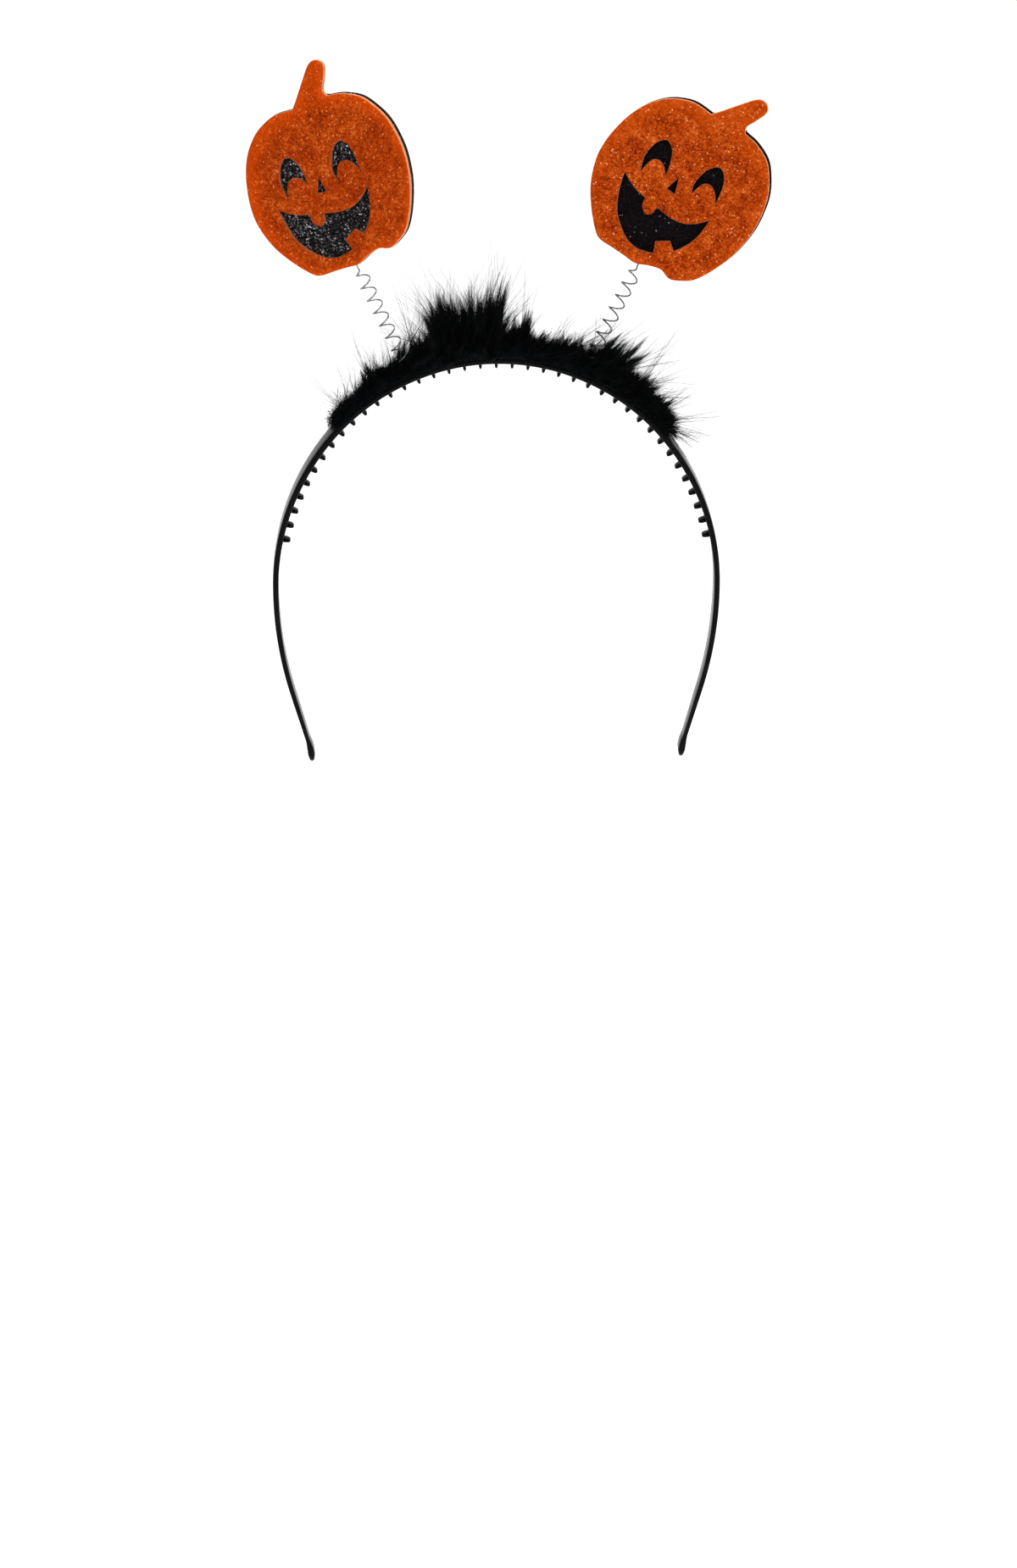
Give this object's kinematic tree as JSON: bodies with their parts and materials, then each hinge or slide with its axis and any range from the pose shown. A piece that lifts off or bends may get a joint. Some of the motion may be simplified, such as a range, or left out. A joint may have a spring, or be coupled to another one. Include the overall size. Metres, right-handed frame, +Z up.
{
  "type": "novelty headband",
  "caption": "Toothed plastic headband with feather trim over the crown and foam pumpkin faces that wobble on coil springs.",
  "frame": {"origin": "middle of the band's inner face at the crown, where the band sits on a head", "axes": "+Z up away from the head, -Y the front that the pumpkin faces look to, +X to the right as seen from the front"},
  "size_m": [0.165, 0.0322, 0.2315],
  "materials": {
    "band_plastic": "satin",
    "feather": "matte",
    "seat_glue": "satin",
    "spring_wire": "satin",
    "orange_foam": "matte",
    "black_foam": "matte"
  },
  "bodies": {
    "headband": {"headband": "band_plastic", "feather_trim": "feather", "left_spring_seat": "seat_glue", "right_spring_seat": "seat_glue"},
    "left_coil": {"left_spring": "spring_wire"},
    "left_pumpkin": {"left_pumpkin_front": "orange_foam", "left_pumpkin_back": "black_foam"},
    "right_coil": {"right_spring": "spring_wire"},
    "right_pumpkin": {"right_pumpkin_front": "orange_foam", "right_pumpkin_back": "black_foam"}
  },
  "joints": [
    {"name": "left_sway", "type": "hinge", "parent": "headband", "child": "left_coil", "pos_m": [-0.03163, 0, 0.00514], "axis": [0, 1, 0], "range_deg": [-25, 25], "stiffness_Nm_per_rad": 0.0047, "springref_deg": 4.57, "deforming": ["left_spring"]},
    {"name": "left_nod", "type": "hinge", "parent": "left_coil", "child": "left_pumpkin", "pos_m": [-0.03997, 0, 0.02332], "axis": [0.909, 0, 0.4169], "range_deg": [-25, 25], "stiffness_Nm_per_rad": 0.0047, "springref_deg": 1.66, "deforming": ["left_spring"]},
    {"name": "right_sway", "type": "hinge", "parent": "headband", "child": "right_coil", "pos_m": [0.03216, 0, 0.0049], "axis": [0, 1, 0], "range_deg": [-25, 25], "stiffness_Nm_per_rad": 0.0047, "springref_deg": -6.11, "deforming": ["right_spring"]},
    {"name": "right_nod", "type": "hinge", "parent": "right_coil", "child": "right_pumpkin", "pos_m": [0.04085, 0, 0.02292], "axis": [0.9006, 0, -0.4346], "range_deg": [-25, 25], "stiffness_Nm_per_rad": 0.0047, "springref_deg": 0.49, "deforming": ["right_spring"]}
  ]
}
